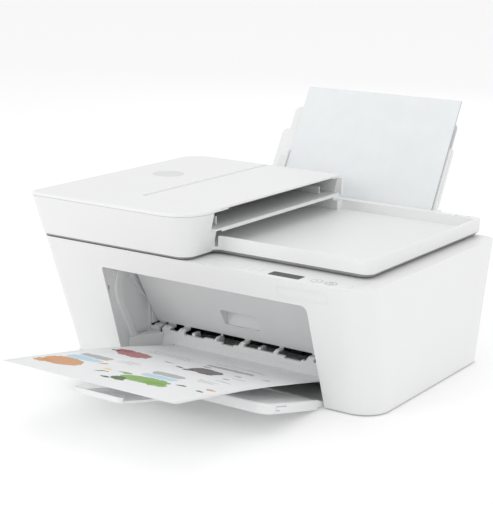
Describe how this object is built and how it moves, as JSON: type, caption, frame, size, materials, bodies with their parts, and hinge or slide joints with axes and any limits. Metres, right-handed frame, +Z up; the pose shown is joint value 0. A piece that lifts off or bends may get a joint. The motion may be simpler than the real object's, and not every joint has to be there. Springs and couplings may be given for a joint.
{
  "type": "inkjet printer",
  "caption": "All-in-one inkjet printer with a document feeder lid, a rear input tray holding paper and a lowered output tray with a printed page",
  "frame": {"origin": "middle of the whole object's footprint, on the desk", "axes": "+X to the right seen from the front, +Y from the front to the rear, +Z up"},
  "size_m": [0.428, 0.5812, 0.292],
  "materials": {
    "white_shell": "satin moulded white",
    "panel_white": "fine satin white",
    "bay_grey": "light grey, matt",
    "tray_grey": "pale grey, matt",
    "grey_plastic": "mid grey, matt",
    "dark_plastic": "dark grey, matt",
    "cartridge_black": "black, half gloss",
    "display_black": "smoked window",
    "feet_rubber": "soft grey rubber",
    "roller_rubber": "ground rubber",
    "belt_rubber": "belt rubber",
    "steel": "plain steel",
    "zinc_steel": "zinc plated sheet",
    "bright_rod": "ground and polished",
    "brass": "turned brass",
    "clear_film": "clear film",
    "scan_glass": "clear float glass",
    "pad_foam": "white film on foam",
    "board_green": "circuit board",
    "plain_paper": "uncoated white",
    "printed_paper": "uncoated white with a colour print"
  },
  "bodies": {
    "base": {"base_shell": "white_shell", "bottom_pan": "grey_plastic", "rubber_feet": "feet_rubber", "case_screws": "steel", "control_panel": "panel_white", "display_window": "display_black", "bay_liner": "bay_grey", "exit_guide": "bay_grey", "platen": "dark_plastic", "roller_frames": "dark_plastic", "drive_belts": "belt_rubber", "drive_motors": "steel", "side_frames": "dark_plastic", "chassis_rail": "zinc_steel", "guide_rods": "bright_rod", "encoder_strip": "clear_film", "service_station": "dark_plastic", "paper_chute": "grey_plastic", "power_supply": "dark_plastic", "rear_sockets": "dark_plastic", "circuit_boards": "board_green", "scanner_tub": "dark_plastic", "scanner_glass": "scan_glass", "hinge_brackets": "white_shell"},
    "lid": {"lid_body": "white_shell", "backing_pad": "pad_foam", "lid_hinge_pins": "steel", "feeder_floor": "tray_grey", "feeder_motor": "steel"},
    "feeder_cover": {"feeder_cover": "white_shell"},
    "feeder_flap": {"feeder_flap": "white_shell"},
    "feeder_guide_front": {"feeder_guide_front": "tray_grey"},
    "feeder_guide_rear": {"feeder_guide_rear": "tray_grey"},
    "feeder_drum": {"feeder_drum": "roller_rubber"},
    "feeder_pick_roller": {"feeder_pick_roller": "roller_rubber"},
    "feeder_exit_roller": {"feeder_exit_roller": "roller_rubber"},
    "cartridge_door": {"cartridge_door": "bay_grey"},
    "output_tray": {"output_tray": "tray_grey", "printed_sheet": "printed_paper"},
    "tray_extender": {"tray_extender": "tray_grey"},
    "cancel_button": {"cancel_button": "panel_white"},
    "power_button": {"power_button": "panel_white"},
    "carriage": {"carriage": "dark_plastic", "colour_cartridge": "cartridge_black", "black_cartridge": "cartridge_black"},
    "colour_latch": {"colour_latch": "tray_grey"},
    "black_latch": {"black_latch": "tray_grey"},
    "carriage_motor_pulley": {"carriage_motor_pulley": "brass"},
    "idler_pulley": {"idler_pulley": "dark_plastic"},
    "feed_roller": {"feed_roller": "roller_rubber"},
    "eject_roller": {"eject_roller": "roller_rubber"},
    "pinch_rollers": {"pinch_rollers": "dark_plastic"},
    "star_wheels": {"star_wheels": "steel"},
    "feed_motor_pulley": {"feed_motor_pulley": "brass"},
    "pick_roller": {"pick_roller": "roller_rubber"},
    "scan_head": {"scan_head": "dark_plastic"},
    "paper_stack": {"paper_stack": "plain_paper"},
    "input_tray": {"input_tray": "white_shell"},
    "input_tray_extension": {"input_tray_extension": "white_shell"},
    "paper_width_guide": {"paper_width_guide": "tray_grey"}
  },
  "joints": [
    {"name": "lid_lift", "type": "hinge", "parent": "base", "child": "lid", "pos_m": [0.003, 0.21192, 0.1655], "axis": [-1, 0, 0], "range_deg": [0, 45]},
    {"name": "feeder_cover_lift", "type": "hinge", "parent": "lid", "child": "feeder_cover", "pos_m": [-0.214, 0.04942, 0.197], "axis": [0, 1, 0], "range_deg": [-78, 0]},
    {"name": "feeder_flap_turn", "type": "hinge", "parent": "feeder_cover", "child": "feeder_flap", "pos_m": [0.0095, 0.06942, 0.2003], "axis": [0, 1, 0], "range_deg": [0, 172]},
    {"name": "feeder_guide_front_slide", "type": "slide", "parent": "lid", "child": "feeder_guide_front", "axis": [0, 1, 0], "range_m": [0, 0.06]},
    {"name": "feeder_guide_rear_slide", "type": "slide", "parent": "lid", "child": "feeder_guide_rear", "axis": [0, 1, 0], "range_m": [-0.06, 0]},
    {"name": "feeder_drum_spin", "type": "hinge", "parent": "lid", "child": "feeder_drum", "pos_m": [-0.169, 0.06442, 0.174], "axis": [0, 1, 0], "continuous": true},
    {"name": "feeder_pick_spin", "type": "hinge", "parent": "lid", "child": "feeder_pick_roller", "pos_m": [-0.101, 0.06442, 0.1876], "axis": [0, 1, 0], "continuous": true},
    {"name": "feeder_exit_spin", "type": "hinge", "parent": "lid", "child": "feeder_exit_roller", "pos_m": [-0.067, 0.06442, 0.1636], "axis": [0, 1, 0], "continuous": true},
    {"name": "cartridge_door_lift", "type": "hinge", "parent": "base", "child": "cartridge_door", "pos_m": [0.003, -0.02858, 0.106], "axis": [-1, 0, 0], "range_deg": [0, 75]},
    {"name": "output_tray_fold", "type": "hinge", "parent": "base", "child": "output_tray", "pos_m": [0.003, -0.04858, 0.0035], "axis": [1, 0, 0], "range_deg": [-45, 0]},
    {"name": "tray_extender_slide", "type": "slide", "parent": "output_tray", "child": "tray_extender", "axis": [0, -0.9724, 0.2334], "range_m": [-0.076, 0]},
    {"name": "cancel_button_press", "type": "slide", "parent": "base", "child": "cancel_button", "axis": [0, 0, 1], "range_m": [-0.0006, 0], "stiffness_N_per_m": 400, "springref_m": 0.0006},
    {"name": "power_button_press", "type": "slide", "parent": "base", "child": "power_button", "axis": [0, 0, 1], "range_m": [-0.0006, 0], "stiffness_N_per_m": 400, "springref_m": 0.0006},
    {"name": "carriage_slide", "type": "slide", "parent": "base", "child": "carriage", "axis": [1, 0, 0], "range_m": [-0.268, 0]},
    {"name": "colour_latch_lift", "type": "hinge", "parent": "carriage", "child": "colour_latch", "pos_m": [0.163, 0.01542, 0.085], "axis": [1, 0, 0], "range_deg": [0, 60]},
    {"name": "black_latch_lift", "type": "hinge", "parent": "carriage", "child": "black_latch", "pos_m": [0.186, 0.01542, 0.085], "axis": [1, 0, 0], "range_deg": [0, 60]},
    {"name": "carriage_motor_spin", "type": "hinge", "parent": "base", "child": "carriage_motor_pulley", "pos_m": [0.193, 0.07242, 0.058], "axis": [0, 1, 0], "range_deg": [-3072.1, 3072.1]},
    {"name": "idler_spin", "type": "hinge", "parent": "base", "child": "idler_pulley", "pos_m": [-0.109, 0.07242, 0.058], "axis": [0, 1, 0], "range_deg": [-3072.1, 3072.1]},
    {"name": "feed_roller_spin", "type": "hinge", "parent": "base", "child": "feed_roller", "pos_m": [0.003, 0.05742, 0.0084], "axis": [1, 0, 0], "continuous": true},
    {"name": "eject_roller_spin", "type": "hinge", "parent": "base", "child": "eject_roller", "pos_m": [0.003, 0.01142, 0.0084], "axis": [1, 0, 0], "continuous": true},
    {"name": "pinch_roller_spin", "type": "hinge", "parent": "base", "child": "pinch_rollers", "pos_m": [0.003, 0.05742, 0.018], "axis": [1, 0, 0], "continuous": true},
    {"name": "star_wheel_spin", "type": "hinge", "parent": "base", "child": "star_wheels", "pos_m": [0.003, 0.01142, 0.0181], "axis": [1, 0, 0], "continuous": true},
    {"name": "feed_motor_spin", "type": "hinge", "parent": "base", "child": "feed_motor_pulley", "pos_m": [-0.137, 0.10442, 0.026], "axis": [1, 0, 0], "continuous": true},
    {"name": "pick_roller_spin", "type": "hinge", "parent": "base", "child": "pick_roller", "pos_m": [0.003, 0.15732, 0.08], "axis": [1, 0, 0], "continuous": true},
    {"name": "scan_head_slide", "type": "slide", "parent": "base", "child": "scan_head", "axis": [1, 0, 0], "range_m": [0, 0.3]},
    {"name": "paper_stack_lift", "type": "slide", "parent": "base", "child": "paper_stack", "axis": [0, 0.4833, 0.8755], "range_m": [0, 0.08]},
    {"name": "input_tray_fold", "type": "hinge", "parent": "base", "child": "input_tray", "pos_m": [0.003, 0.22322, 0.16477], "axis": [-1, 0, 0], "range_deg": [0, 130]},
    {"name": "input_tray_extension_slide", "type": "slide", "parent": "input_tray", "child": "input_tray_extension", "axis": [0, 0.4833, 0.8755], "range_m": [-0.033, 0]},
    {"name": "paper_width_guide_slide", "type": "slide", "parent": "input_tray", "child": "paper_width_guide", "axis": [1, 0, 0], "range_m": [-0.004, 0]}
  ],
  "couplings": [
    {"joint": "feeder_guide_rear_slide", "follows": "feeder_guide_front_slide", "ratio": -1},
    {"joint": "feeder_pick_spin", "follows": "feeder_drum_spin", "ratio": 1.5714},
    {"joint": "feeder_exit_spin", "follows": "feeder_drum_spin", "ratio": -2.2},
    {"joint": "carriage_motor_spin", "follows": "carriage_slide", "rad_per_m": -200},
    {"joint": "idler_spin", "follows": "carriage_slide", "rad_per_m": -200},
    {"joint": "eject_roller_spin", "follows": "feed_roller_spin", "ratio": 1},
    {"joint": "feed_motor_spin", "follows": "feed_roller_spin", "ratio": 1},
    {"joint": "pinch_roller_spin", "follows": "feed_roller_spin", "ratio": -0.84},
    {"joint": "star_wheel_spin", "follows": "feed_roller_spin", "ratio": -0.84}
  ]
}
